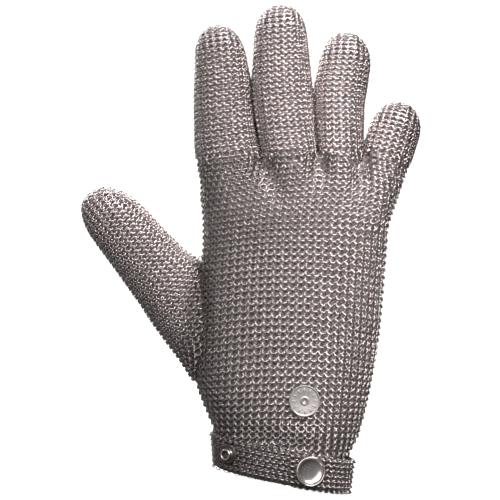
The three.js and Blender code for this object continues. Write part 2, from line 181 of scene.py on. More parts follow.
# The lights: name, setting, place and diameter, and the point that they all face. The camera's place
# across and up, and the width that it sees at the glove. Metres, but millimetres for the sensor.
LIGHTS = (
    ("Key light", "key", (0.27, -0.45, 0.48), 0.3),
    ("Fill light", "fill", (-0.12, -0.74, 0.44), 0.85),
    ("Back light", "back", (-0.3, 0.8, 0.6), 0.7),
)
LIT = Vector((0, 0, 0.11))
CAMERA = {"across": -0.0154, "up": 0.1109, "width": 0.24, "sensor": 36.0}


# Sizes and colours that a user may change


def millimetres(name, description, default, low, high):
    """A length setting, in millimetres."""
    return bpy.props.FloatProperty(
        name=name, description=description, default=default * MM, min=low * MM, max=high * MM,
        subtype="DISTANCE", unit="LENGTH")


def degrees(name, description, default, high):
    """An angle setting, in degrees."""
    return bpy.props.FloatProperty(
        name=name, description=description, default=math.radians(default), min=0,
        max=math.radians(high), subtype="ANGLE", unit="ROTATION")


def watts(name, description, default):
    """A lamp's power, in watts."""
    return bpy.props.FloatProperty(
        name=name, description=description, default=default, min=0, max=500, subtype="POWER",
        unit="POWER")


def paint(name, description, default):
    """A colour setting."""
    return bpy.props.FloatVectorProperty(
        name=name, description=description, default=default, size=3, min=0, max=1, subtype="COLOR")


class MailSettings(bpy.types.PropertyGroup):
    ring: millimetres("Ring", "Diameter of a ring on the middle of its wire", 3.45, 1, 10)
    wire: millimetres("Wire", "Diameter of the wire", 0.55, 0.1, 2)
    pitch: millimetres("Pitch along a row", "Distance between neighbouring rings of one row", 3.76, 1, 12)
    stall_pitch: millimetres(
        "Row pitch of the stalls", "Distance between rows on the fingers and the thumb", 1.34, 1, 4)
    stall_step: millimetres(
        "Pitch along a row of the stalls", "Distance between neighbouring rings on the stalls", 3.6, 1, 12)
    strap_pitch: millimetres(
        "Row pitch of the strap", "Distance between rows on the wrist strap", 1.4, 1, 4)
    strap_step: millimetres(
        "Pitch along a row of the strap", "Distance between neighbouring rings on the strap", 3.2, 1, 12)
    proud: millimetres("Proud", "How far the outermost wire stands over the plain surface", 0.65, 0, 2)
    turn: degrees("Shingle", "Turn of each ring that lets it lie over its neighbour in the row", 4, 30)
    droop: degrees("Droop", "Turn of all rings that brings their lower edges out", 8, 30)
    wander: degrees("Wander", "Largest random tilt of a ring", 2, 20)
    colour: paint("Steel", "Colour of the ring wire", (0.5, 0.452, 0.446))


class HardwareSettings(bpy.types.PropertyGroup):
    cap_radius: millimetres("Cap radius", "Radius of the snap's cap", 6.9, 1, 20)
    stud_radius: millimetres("Stud radius", "Radius of the unused stud's ring", 2.6, 1, 10)
    disc_radius: millimetres("Disc radius", "Radius of the disc on the back of the hand", 7.3, 1, 20)
    marks: bpy.props.IntProperty(
        name="Marks", description="Number of plain bars round the disc, in pairs", default=24, min=4, max=60)
    cap_colour: paint("Cap", "Colour of the snap's cap", (0.635, 0.58, 0.565))
    disc_colour: paint("Disc", "Colour of the disc", (0.51, 0.465, 0.453))


class StudioSettings(bpy.types.PropertyGroup):
    key: watts("Key light", "Power of the soft light at the upper right", 5.5)
    fill: watts("Fill light", "Power of the broad light at the front", 5.0)
    back: watts("Back light", "Power of the soft light behind the glove", 14.0)
    distance: millimetres(
        "Camera distance", "From the camera to the middle plane of the glove", 750, 200, 5000)


# Shader maths written as expressions


class Socket:
    """A value in a node tree, so that a pattern can be written as a sum or product."""

    def __init__(self, tree, value):
        self.tree = tree
        self.value = value

    def _maths(self, operation, *others):
        node = self.tree.nodes.new("ShaderNodeMath")
        node.operation = operation
        for slot, item in zip(node.inputs, (self, *others)):
            item = item.value if isinstance(item, Socket) else item
            if isinstance(item, (int, float)):
                slot.default_value = item
            else:
                self.tree.links.new(item, slot)
        return Socket(self.tree, node.outputs[0])

    def __add__(self, other):
        return self._maths("ADD", other)

    __radd__ = __add__

    def __mul__(self, other):
        return self._maths("MULTIPLY", other)

    __rmul__ = __mul__

    def __sub__(self, other):
        return self._maths("SUBTRACT", other)

    def __rsub__(self, other):
        return (self * -1.0) + other

    def near(self, value, reach):
        """One where this is the value, falling to nothing over the reach on both sides."""
        return (1.0 - (self - value)._maths("ABSOLUTE") * (1.0 / reach)).clamped()

    def clamped(self):
        """This value, kept between nothing and one."""
        return self._maths("MINIMUM", 1.0)._maths("MAXIMUM", 0.0)


class Finish:
    """A material built node by node round one Principled shader."""

    def __init__(self, name, **constants):
        self.material = bpy.data.materials.new(name)
        self.material.use_nodes = True
        self.tree = self.material.node_tree
        self.shader = self.tree.nodes["Principled BSDF"]
        for socket, value in constants.items():
            self.shader.inputs[socket.replace("_", " ")].default_value = value
        self.place = self.node("ShaderNodeTexCoord", out="Object")

    def node(self, kind, settings=None, out=0, **inputs):
        node = self.tree.nodes.new(kind)
        for key, value in (settings or {}).items():
            setattr(node, key, value)
        for key, value in inputs.items():
            socket = node.inputs[key.replace("_", " ")]
            if isinstance(value, Socket):
                self.tree.links.new(value.value, socket)
            else:
                socket.default_value = value
        return Socket(self.tree, node.outputs[out])

    def noise(self, scale, detail=3.0, roughness=0.55):
        return self.node("ShaderNodeTexNoise", Vector=self.place, Scale=scale, Detail=detail,
                         Roughness=roughness)

    def grain(self, scale, turn, detail, roughness):
        """Noise drawn out into scratches by unequal scales."""
        place = self.node("ShaderNodeMapping", Vector=self.place, Scale=scale, Rotation=turn)
        return self.node("ShaderNodeTexNoise", Vector=place, Scale=1.0, Detail=detail,
                         Roughness=roughness)

    def axis(self, name):
        """Where a point lies along one axis of its object."""
        return self.node("ShaderNodeSeparateXYZ", Vector=self.place, out=name)

    def mix(self, factor, first, second):
        node = self.tree.nodes.new("ShaderNodeMix")
        node.data_type = "RGBA"
        self.tree.links.new(factor.clamped().value, node.inputs[0])
        for socket, value in ((node.inputs[6], first), (node.inputs[7], second)):
            if isinstance(value, Socket):
                self.tree.links.new(value.value, socket)
            else:
                socket.default_value = (*value, 1.0)
        return Socket(self.tree, node.outputs[2])

    def feed(self, **sockets):
        for key, value in sockets.items():
            self.tree.links.new(value.value, self.shader.inputs[key.replace("_", " ")])

    def bump(self, height, strength, distance):
        node = self.tree.nodes.new("ShaderNodeBump")
        node.inputs["Strength"].default_value = strength
        node.inputs["Distance"].default_value = distance
        self.tree.links.new(height.value, node.inputs["Height"])
        self.tree.links.new(node.outputs[0], self.shader.inputs["Normal"])


def shade(colour, factor):
    return tuple(min(1.0, c * factor) for c in colour)


def ring_steel(name, colour, painted_shading):
    """Round stainless wire: worn bright on most rings, dull and a little brown in patches, and darkened
    by painted shade in the fold of the thumb and towards one side. The gradient argument is how that
    painted shade grows with X and Z and what it is at 0."""
    finish = Finish(name, Metallic=1.0, Roughness=0.3)
    patches = finish.noise(28.0, 2.0)
    speckle = finish.noise(420.0, 2.0)
    side = finish.axis("X")
    height = finish.axis("Z")
    # Painted shade: darker in the fold of the thumb's seam and towards one side, where less light falls.
    fold = side.near(*FOLD_SHADE["X"]) * height.near(*FOLD_SHADE["Z"])
    painted_shade = side * painted_shading[0] + height * painted_shading[1] + painted_shading[2] + fold * 0.9
    grime = (patches * 1.6 - 0.55).clamped() * 0.4 + speckle * 0.3
    bright = finish.mix(speckle * 1.3 - 0.15, shade(colour, 0.88), shade(colour, 1.16))
    dull = shade((colour[0], colour[1] * 0.95, colour[2] * 0.94), 0.62)
    finish.feed(Base_Color=finish.mix(painted_shade, finish.mix(grime, bright, dull), shade(dull, 0.48)))
    finish.feed(Roughness=speckle * 0.1 + patches * 0.08 + 0.1)
    finish.bump(finish.noise(2600.0, 2.0), 0.12, 0.00004)
    return finish.material


def dark_steel(name, colour, painted_shading=(0.0, 0.0, 0.0)):
    """The far side of the mail, which only shows between the near rings: its dark colour is partly painted
    shade on those links, and the gradient argument paints more shade towards one side.
    """
    finish = Finish(name, Metallic=0.55, Roughness=0.62)
    links = finish.node("ShaderNodeTexVoronoi", {"feature": "DISTANCE_TO_EDGE"},
                        Vector=finish.place, Scale=420.0)
    patches = finish.noise(90.0, 2.0)
    warm = (colour[0], colour[1] * 0.93, colour[2] * 0.92)
    dark = finish.mix(links * 2.4 + patches * 0.4 - 0.2, shade(warm, 0.45), warm)
    side = finish.axis("X")
    height = finish.axis("Z")
    # Painted shade: the layer is darker towards one side, as the light falls.
    painted_shade = side * painted_shading[0] + height * painted_shading[1] + painted_shading[2]
    finish.feed(Base_Color=finish.mix(painted_shade, dark, shade(warm, 0.3)), Roughness=patches * 0.3 + 0.45)
    finish.bump(links, 0.7, 0.0006)
    return finish.material


def polished_steel(name, colour, rough):
    """Pressed and polished steel with fine scratches and a few dull spots."""
    finish = Finish(name, Metallic=1.0, Roughness=rough)
    cloud = finish.noise(160.0, 3.0)
    scratches = finish.grain((900.0, 900.0, 6200.0), (0.0, 0.7, 0.3), 2.0, 0.5)
    finish.feed(Base_Color=finish.mix(cloud * 1.4 - 0.3, shade(colour, 1.08), shade(colour, 0.82)))
    finish.feed(Roughness=cloud * rough * 0.8 + scratches * rough * 0.9 + rough * 0.25)
    finish.bump(scratches, 0.1, 0.00003)
    return finish.material


def satin_steel(name, colour):
    """A stamped disc: pale satin metal with grain, and darker where dirt lies."""
    finish = Finish(name, Metallic=0.9, Roughness=0.42)
    grain = finish.grain((2800.0, 2800.0, 420.0), (0.0, 0.5, 0.0), 3.0, 0.6)
    cloud = finish.noise(260.0, 3.0)
    base = finish.mix(cloud * 1.5 - 0.35, shade(colour, 1.1), shade(colour, 0.8))
    finish.feed(Base_Color=finish.mix(grain * 0.8 - 0.1, base, shade(colour, 0.86)))
    finish.feed(Roughness=grain * 0.2 + cloud * 0.15 + 0.26)
    finish.bump(grain, 0.22, 0.00008)
    return finish.material


# Surfaces found on the CAD nodes


class Skin:
    """The outer face of some CAD nodes, found by rays that leave their inside."""

    def __init__(self, *names):
        points, faces = [], []
        for name in names:
            mesh = nodes[name].data
            start = len(points)
            points += [v.co.copy() for v in mesh.vertices]
            faces += [[start + i for i in p.vertices] for p in mesh.polygons]
        self.tree = BVHTree.FromPolygons(points, faces)

    def last_hit(self, origin, direction, reach):
        """The farthest place within reach where a ray meets the skin, or None."""
        travelled, found = 0.0, None
        while travelled < reach:
            hit = self.tree.ray_cast(origin + direction * travelled, direction, reach - travelled)
            if hit[0] is None:
                break
            found = hit[0]
            travelled += hit[3] + 0.00002
        return found


def smooth_round(values, width):
    """A running mean round each row, twice."""
    kernel = np.ones(2 * width + 1) / (2 * width + 1)
    for _ in range(2):
        padded = np.concatenate([values[:, -width:], values, values[:, :width]], axis=1)
        values = np.stack([
            np.stack([np.convolve(row[:, c], kernel, mode="valid") for c in range(row.shape[1])], axis=1)
            for row in padded])
    return values


class Sheath:
    """A skin charted by rows along a line and by angle round it, from the back of the hand (0)
    by the little finger's side (90 degrees) and the palm (180)."""

    def __init__(self, skin, lines, samples, spread, reach, deep, beyond=1.4, shape=None):
        self.samples = samples
        angles = np.arange(samples) * 2 * math.pi / samples
        points = np.zeros((len(lines), samples, 3))
        there = np.zeros((len(lines), samples), bool)
        for i, line in enumerate(lines):
            place, across, depth = line["place"], line["across"], line["depth"]
            for _ in range(line.get("centring", 0)):
                for way, far in ((across, reach), (depth, deep)):
                    ends = [skin.last_hit(place, d, far * beyond) for d in (way, -way)]
                    if all(ends):
                        place = place + way * ((ends[0] + ends[1]) / 2 - place).dot(way)
            for k, angle in enumerate(angles):
                side, face = math.sin(angle), -math.cos(angle)
                way = across * ((1 - spread) * reach * side) + depth * (deep * face)
                way.normalize()
                start = place + across * (spread * line.get("half", reach) * side)
                hit = None
                for _ in range(3 if line.get("bend") else 1):
                    guess = start.x + side * line.get("farther", 0.0)
                    lift = line["bend"](hit.x if hit else guess) if line.get("bend") else 0.0
                    hit = skin.last_hit(start + Vector((0, 0, lift)), way, reach * beyond) or hit
                if hit is None:
                    points[i, k] = np.array(place + (start - place) + way * (deep * 0.9))
                else:
                    points[i, k] = np.array(hit)
                    there[i, k] = True
        found = there.mean(axis=1) > 0.05
        self.raw = points[found]
        self.there = there[found]
        self.marks = np.array([line["mark"] for line in lines])[found]
        self.fill()
        if shape:
            self.raw = shape(self.raw)
        self.points = smooth_round(self.raw, 1)
        self.points[1:-1] = (self.points[:-2] + 2 * self.points[1:-1] + self.points[2:]) / 4
        self.measure()

    def fill(self):
        """Bridges the places where the skin has a hole, from the rows and places round them."""
        for i in range(len(self.raw)):
            good = np.flatnonzero(self.there[i])
            if len(good) in (0, self.samples):
                continue
            where = np.arange(self.samples)
            for c in range(3):
                self.raw[i, :, c] = np.interp(where, good, self.raw[i, good, c], period=self.samples)

    def measure(self):
        """Distances along the sheath, its normals and an evened copy to measure girths on."""
        points = self.points
        both = self.there[1:] & self.there[:-1]
        gaps = np.linalg.norm(np.diff(points, axis=0), axis=2)
        steps = (gaps * both).sum(axis=1) / np.maximum(both.sum(axis=1), 1)
        self.along = np.concatenate([[0.0], np.cumsum(steps)])
        down = np.gradient(points, axis=0)
        round_ = (np.roll(points, -1, axis=1) - np.roll(points, 1, axis=1)) / 2
        normals = np.cross(round_, down)
        length = np.linalg.norm(normals, axis=2, keepdims=True)
        self.normals = smooth_round(normals / np.maximum(length, 1e-12), 1)
        self.even = smooth_round(points, max(1, self.samples // 40))

    def at_mark(self, mark):
        return float(np.interp(mark, self.marks, self.along))

    def mark_at(self, along):
        return float(np.interp(along, self.along, self.marks))

    def row_at(self, along):
        """Curve, normals, evened curve and presence of the row at a distance along the sheath."""
        i = int(np.clip(np.searchsorted(self.along, along) - 1, 0, len(self.along) - 2))
        f = (along - self.along[i]) / max(self.along[i + 1] - self.along[i], 1e-9)
        f = min(max(f, 0.0), 1.0)
        there = self.there[i] if f < 0.5 else self.there[i + 1]
        return *(a[i] * (1 - f) + a[i + 1] * f for a in (self.points, self.normals, self.even)), there


def columns(start, end, seam, pitch):
    """Places from start to end: at the pitch from both, with what is left over spread round the seam."""
    width = end - start
    count = max(1, round(width / pitch))
    left_over = width - count * pitch
    at_seam = (seam - start) / pitch
    reach = min(4.0, count / 2)
    steps = np.arange(count)
    share = np.clip((steps - at_seam + reach) / (2 * reach), 0, 1)
    if count < 8:
        share = steps / count
    return start + steps * pitch + left_over * share


def lay_row(sheath, along, odd, pitch, phases=(0.0, 0.0)):
    """Centres on the surface, normals and directions of one row's rings, and which are on the skin. The
    phases shift the columns on the back and on the palm side."""
    curve, normals, even, there = sheath.row_at(along)
    closed = np.vstack([even, even[:1]])
    lengths = np.concatenate([[0.0], np.cumsum(np.linalg.norm(np.diff(closed, axis=0), axis=1))])
    girth = lengths[-1]
    quarter = sheath.samples // 4
    right, palm, left = lengths[quarter], lengths[2 * quarter], lengths[3 * quarter]
    shift = pitch / 2 if odd else 0.0
    first = phases[0] + shift
    middle = palm + phases[1] + shift
    if girth < 3.2 * pitch:
        count = max(1, round(girth / pitch))
        places = (np.arange(count) + (0.5 if odd else 0.0)) * girth / count
    else:
        places = np.concatenate([
            columns(first, middle, right, pitch),
            columns(middle, first + girth, left, pitch)])
    places = np.mod(places, girth)
    where = np.interp(places, lengths, np.arange(sheath.samples + 1))
    low = np.floor(where).astype(int)
    part = (where - low)[:, None]
    high = (low + 1) % sheath.samples
    low = low % sheath.samples
    centre = curve[low] * (1 - part) + curve[high] * part
    normal = normals[low] * (1 - part) + normals[high] * part
    across = curve[high] - curve[low]
    present = there[low] & there[high]
    return centre, normal, across, present


class Rings:
    """Collects rings and makes them one mesh."""

    def __init__(self, settings, seed):
        self.settings = settings
        self.random = np.random.default_rng(seed)
        self.centres, self.frames = [], []

    def add(self, centre, normal, across, pitch, odd, ease=1.0, droop=1.0):
        """Rings on the points of a surface whose rows have this pitch, leaning as far as the pitch asks
        times ease, and turned by this share of the droop."""
        settings = self.settings
        radius, wire = settings.ring / 2, settings.wire
        lean = ease * math.acos(min(0.97, (2 * pitch - 0.6 * wire) / (2 * radius)))
        normal = normal / np.maximum(np.linalg.norm(normal, axis=1, keepdims=True), 1e-9)
        across = across - normal * (across * normal).sum(axis=1, keepdims=True)
        across = across / np.maximum(np.linalg.norm(across, axis=1, keepdims=True), 1e-9)
        up = np.cross(normal, across)
        count = len(centre)
        lean = np.broadcast_to(lean, count)
        tilt = (lean if odd else -lean) - settings.droop * droop
        tilt += self.random.uniform(-1, 1, count) * settings.wander
        turn = settings.turn + self.random.uniform(-1, 1, count) * settings.wander
        spin = self.random.uniform(0, 2 * math.pi, count)
        surface = np.stack([across, up, normal], axis=2)
        self.frames.append(surface @ turned_about(turn, 1) @ turned_about(tilt, 0) @ turned_about(spin, 2))
        inset = radius * np.sin(lean) + wire / 2 - settings.proud
        self.centres.append(centre - normal * inset[:, None])

    def mesh(self, name, sides, wire_sides):
        form = bmesh.new()
        bmesh.ops.create_circle(
            form, segments=wire_sides, radius=self.settings.wire / 2,
            matrix=Matrix.Translation((self.settings.ring / 2, 0, 0)) @ Matrix.Rotation(math.pi / 2, 4, "X"))
        bmesh.ops.spin(
            form, geom=form.edges[:], cent=(0, 0, 0), axis=(0, 0, 1), angle=2 * math.pi,
            steps=sides, use_merge=True, use_duplicate=False)
        bmesh.ops.remove_doubles(form, verts=form.verts, dist=self.settings.wire / 50)
        bmesh.ops.recalc_face_normals(form, faces=form.faces)
        form.verts.index_update()
        one = np.array([tuple(v.co) for v in form.verts])
        corners = np.array([[v.index for v in f.verts] for f in form.faces])
        form.free()
        centres, frames = np.concatenate(self.centres), np.concatenate(self.frames)
        points = np.einsum("rij,vj->rvi", frames, one) + centres[:, None, :]
        faces = (corners[None] + (np.arange(len(centres)) * len(one))[:, None, None]).reshape(-1, 4)
        mesh = bpy.data.meshes.new(name)
        mesh.vertices.add(points.shape[0] * points.shape[1])
        mesh.vertices.foreach_set("co", points.astype(np.float32).ravel())
        mesh.loops.add(faces.size)
        mesh.loops.foreach_set("vertex_index", faces.astype(np.int32).ravel())
        mesh.polygons.add(len(faces))
        mesh.polygons.foreach_set("loop_start", np.arange(0, faces.size, 4, dtype=np.int32))
        mesh.polygons.foreach_set("use_smooth", np.ones(len(faces), bool))
        mesh.update(calc_edges=True)
        mesh.validate()
        return mesh


def turned_about(angles, axis):
    """Rotation matrices about one of the three axes."""
    cosine, sine = np.cos(angles), np.sin(angles)
    made = np.zeros((len(angles), 3, 3))
    first, second = [(1, 2), (2, 0), (0, 1)][axis]
    made[:, axis, axis] = 1
    made[:, first, first] = cosine
    made[:, second, second] = cosine
    made[:, first, second] = -sine
    made[:, second, first] = sine
    return made


def piece(name, mesh, material, slot, *replaced):
    """Puts a mesh in the scene as a piece of the glove."""
    made = bpy.data.objects.new(name, mesh)
    bpy.context.scene.collection.objects.link(made)
    mesh.materials.clear()
    mesh.materials.append(material)
    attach(made, "root")
    if replaced:
        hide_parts(*replaced)
    return made


def smooth_mesh(name, form):
    """A smoothly shaded mesh of what is in a bmesh, which is freed."""
    mesh = bpy.data.meshes.new(name)
    form.to_mesh(mesh)
    form.free()
    mesh.polygons.foreach_set("use_smooth", np.ones(len(mesh.polygons), bool))
    return mesh


def walled(made):
    """Gives an inner layer its thickness."""
    wall = made.modifiers.new("Wall", "SOLIDIFY")
    wall.thickness = WALL
    wall.offset = -1


def ring_piece(name, rings, material, slot, *replaced):
    if not rings.centres:
        raise RuntimeError("no rings were laid for " + name)
    return piece(name, rings.mesh(name, RING_SIDES, WIRE_SIDES), material, slot, *replaced)


def lining(name, sheath, inset, first, last, step, material, slot, closed_tip=True, bridged=math.inf):
    """The dark inner layer: a thin wall that follows a sheath from inside. It is left out where the
    sheath has no skin, up to the mark from which such places are bridged."""
    places = np.arange(first, last - step / 2, step)
    places = np.append(places, last)
    count = sheath.samples // 2
    form = bmesh.new()
    bmesh.ops.create_grid(form, x_segments=count, y_segments=len(places), size=1)
    rows = [sheath.row_at(place) for place in places]
    bare = []
    for vertex in form.verts:
        i = round((vertex.co.y + 1) / 2 * len(places))
        k = round((vertex.co.x + 1) / 2 * count) % count * 2
        if i == len(places):
            vertex.co = Vector(sheath.points[-1].mean(axis=0) * 0.5 + rows[-1][0].mean(axis=0) * 0.5)
            if not closed_tip:
                bare.append(vertex)
            continue
        curve, normals, _, there = rows[i]
        vertex.co = Vector(curve[k] - normals[k] * inset)
        later = sheath.row_at(places[i] + step * 0.7)[3]
        if not (there[k] or later[k]) and sheath.mark_at(places[i]) < bridged:
            bare.append(vertex)
    bmesh.ops.delete(form, geom=bare, context="VERTS")
    bmesh.ops.remove_doubles(form, verts=form.verts, dist=0.00005)
    bmesh.ops.dissolve_degenerate(form, edges=form.edges, dist=0.00005)
    bmesh.ops.recalc_face_normals(form, faces=form.faces)
    walled(piece(name, smooth_mesh(name, form), material, slot))


# The hand and the stalls


def knuckle_line(x):
    """Height over the row's mark of the line along which the fingers' stalls begin."""
    return np.interp(x, KNUCKLE_LINE[0], KNUCKLE_LINE[1])


def hand_row(key, height):
    """What the table of the hand's rows says at a height."""
    return np.interp(height / MM, HAND_ROWS["height"], HAND_ROWS[key])


def hand_bend(height):
    """How far a row of the hand is lifted at a place across it, for the row at this height."""
    slope, drop = hand_row("slope", height), hand_row("drop", height)
    share = np.clip((height - 0.118) / 0.030, 0, 1)
    share = share * share * (3 - 2 * share)
    return lambda x: (x * slope - x * x / MM * drop) * (1 - share) + knuckle_line(x) * share


def furrowed(points):
    """Presses the furrows between the fingers into both faces of the hand."""
    for (x_top, z_top), (x_low, z_low), depth, width in FURROWS:
        share = np.clip((points[..., 2] / MM - z_low) / (z_top - z_low), 0, 1.1)
        middle = (x_low + (x_top - x_low) * share) * MM
        press = np.exp(-((points[..., 0] - middle) / (width * MM)) ** 2)
        press = press * np.sin(np.minimum(share, 1) * math.pi / 2)
        points[..., 1] -= np.sign(points[..., 1] - 0.001) * depth * MM * press
    return points


def hand_sheath():
    skin = Skin("hand", *FINGERS)
    lines = []
    for height in np.arange(-8.0, KNUCKLE_MARK / MM + 2.1, 2.0) * MM:
        low, high = (np.interp(height / MM, HAND_EDGES[0], edge) * MM for edge in HAND_EDGES[1:])
        lines.append({
            "place": Vector(((low + high) / 2, 0.001, height)), "mark": height,
            "across": Vector((1, 0, 0)), "depth": Vector((0, 1, 0)),
            "half": (high - low) / 2 - 0.004, "bend": hand_bend(height)})
    return Sheath(skin, lines, WIDE_SAMPLES, 0.9, 0.05, 0.03, beyond=1.5, shape=furrowed)


def stall_lines(name, step):
    """The line of a stall, with the directions across and through it."""
    row = STALLS[name]
    lean = math.radians(row["lean"])
    along = Vector((math.sin(lean), 0, math.cos(lean)))
    across = Vector((math.cos(lean), 0, -math.sin(lean)))
    root = Vector(row["root"]) * MM
    length = row["length"]
    places = list(np.arange(0.0, length - 15.0, step))
    places += [length - 15.0 * (1 - math.sin(a)) for a in np.linspace(0, math.pi / 2, 16)[:-1]]
    places.append(length - 0.12)
    lines = []
    for place in places:
        share = place / length
        slope = 2 * row["curl"] * share / length
        depth = Vector((0, 1, 0)) - along * slope
        lines.append({
            "place": root + along * (place * MM) + Vector((0, row["curl"] * share * share * MM, 0)),
            "across": across, "depth": depth.normalized(), "centring": 2, "mark": place})
    return lines


def stall_sheath(name):
    row = STALLS[name]
    return Sheath(Skin(name), stall_lines(name, 1.5), STALL_SAMPLES, 0.0, row["reach"] * MM,
                  row["deep"] * MM, beyond=1.25)


class GLOVE_OT_hand_mail(bpy.types.Operator):
    """Weaves the mail of the palm and the back of the hand"""

    bl_idname = "glove.hand_mail"
    bl_label = "Hand mail"

    def execute(self, context):
        settings = context.scene.glove_mail
        sheath = hand_sheath()
        strap_top = strap_edge()
        lots = {key: Rings(settings, seed) for seed, key in enumerate(
            ("back_low", "back_high", "palm_low", "palm_high"))}
        for row, (along, pitch) in enumerate(hand_rows(sheath)):
            centre, normal, across, present = lay_row(sheath, along, row % 2, settings.pitch)
            keep = present & (centre[:, 2] > strap_top(centre[:, 0]) - 0.0022)
            levels = (("low", centre[:, 2] < HAND_SPLIT), ("high", centre[:, 2] >= HAND_SPLIT))
            for part, chosen in (("back", normal[:, 1] < 0), ("palm", normal[:, 1] >= 0)):
                for level, band in levels:
                    use = keep & chosen & band
                    if use.any():
                        ease = np.interp(centre[use, 2], *HAND_EASE)
                        lots[part + "_" + level].add(
                            centre[use], normal[use], across[use], pitch, row % 2, ease)
        # Painted light: bright paints the hand's steel brighter, its gradient paints shade towards the
        # thumb's side and the wrist, and the inner layer's darkness is partly painted shade.
        look = STEEL["hand"]
        steel = ring_steel("Ring steel of the hand", shade(settings.colour, look["bright"]), look["painted_shading"])
        for key, rings in lots.items():
            ring_piece("hand_mail_" + key, rings, steel, "mail", "hand")
        dark = dark_steel("Inner mail of the hand", shade(settings.colour, look["inner"]),
                          look["inner_painted_shading"])
        lining("hand_inner", sheath, INSET["hand"], 0.0, sheath.at_mark(KNUCKLE_MARK + MM),
               LAYER_STEP["hand"], dark, "mail", closed_tip=False, bridged=0.13)
        return {"FINISHED"}


def hand_rows(sheath):
    """Places and pitches of the hand's rows, from the knuckle line down to the hem."""
    along = sheath.at_mark(KNUCKLE_MARK)
    while along > 0:
        height = sheath.mark_at(along)
        pitch = hand_row("pitch", height) * MM
        yield along, pitch
        along -= pitch


def strap_edge():
    """Height of the strap's upper edge at a place across the hand."""
    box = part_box("wrist_strap")
    points = np.array([tuple(v.co) for v in nodes["wrist_strap"].data.vertices])
    left = points[points[:, 0] < box[0].x + 0.004][:, 2].max()
    right = points[points[:, 0] > box[1].x - 0.004][:, 2].max()

    def height(x):
        share = (x - box[0].x) / (box[1].x - box[0].x)
        return left + (right - left) * share

    return height


def stall_start(name, centres, normals):
    """Where a finger's first row lies on its line, and how far its columns are shifted, on its back and
    on its palm side, to follow those of the hand's top row."""
    row = STALLS[name]
    lean = math.radians(row["lean"])
    along = np.array([math.sin(lean), 0, math.cos(lean)])
    across = np.array([math.cos(lean), 0, -math.sin(lean)])
    root = np.array(row["root"]) * MM
    start = 0.03
    for _ in range(3):
        x = (root + along * start)[0]
        start = (KNUCKLE_MARK + knuckle_line(x) - root[2]) / along[2]
    middle = root + along * start
    shifts = []
    for side in (-1, 1):
        offsets = ((centres[normals[:, 1] * side > 0.3] - middle) @ across)
        shifts.append(-side * offsets[np.argmin(np.abs(offsets))])
    return start / MM, shifts


class GLOVE_OT_stall_mail(bpy.types.Operator):
    """Weaves the stalls of the fingers and the thumb"""

    bl_idname = "glove.stall_mail"
    bl_label = "Stall mail"

    def execute(self, context):
        settings = context.scene.glove_mail
        # The stalls' inner layer is painted dark, partly as shade of the far links.
        dark = dark_steel("Inner mail of the stalls", shade(settings.colour, STALL_INNER))
        hand = hand_sheath()
        top = lay_row(hand, hand.at_mark(KNUCKLE_MARK), 0, settings.pitch)
        below = [lay_row(hand, along, row % 2, settings.pitch)
                 for row, (along, _) in enumerate(hand_rows(hand)) if row < 8]
        laid = np.concatenate([centre[present] for centre, _, _, present in below])
        pitch = settings.stall_pitch
        for seed, name in enumerate(STALLS, 10):
            sheath = stall_sheath(name)
            rings = Rings(settings, seed)
            row = STALLS[name]
            # Painted light: each stall's steel is painted brighter by its bright, and its gradient paints
            # shade towards one side.
            colour = shade(settings.colour, row["bright"])
            steel = ring_steel("Ring steel of the " + name, colour, row["painted_shading"])
            start, shifts, index = 2.0, (0.0, 0.0), 0
            if name in FINGERS:
                start, shifts = stall_start(name, top[0][top[3]], top[1][top[3]])
                index = -3
            first = sheath.at_mark(start)
            while first + index * pitch < sheath.along[-1] - pitch * 0.2:
                along = first + index * pitch
                if along >= 0:
                    centre, normal, across, present = lay_row(
                        sheath, along, index % 2, settings.stall_step, shifts)
                    if index <= 3 and name in FINGERS:
                        present = present & clear_of(laid, centre, CLEAR)
                    if present.any():
                        rings.add(centre[present], normal[present], across[present], pitch, index % 2,
                                  ease=0.6, droop=0.5)
                index += 1
            ring_piece(name + "_mail", rings, steel, "mail", name)
            lining(name + "_inner", sheath, INSET["stall"], 0.0, sheath.along[-1] - 0.0045,
                   LAYER_STEP["stall"], dark, "mail")
        return {"FINISHED"}


def ring_centres(*names):
    """The middles of the rings of some pieces."""
    lots = []
    for name in names:
        mesh = bpy.data.objects[name].data
        points = np.empty(len(mesh.vertices) * 3, np.float32)
        mesh.vertices.foreach_get("co", points)
        lots.append(points.reshape(-1, RING_SIDES * WIRE_SIDES, 3).mean(axis=1))
    return np.concatenate(lots)


def clear_of(laid, centres, distance):
    """Which centres are farther than a distance from all that are laid."""
    return np.linalg.norm(centres[:, None] - laid[None], axis=2).min(axis=1) > distance


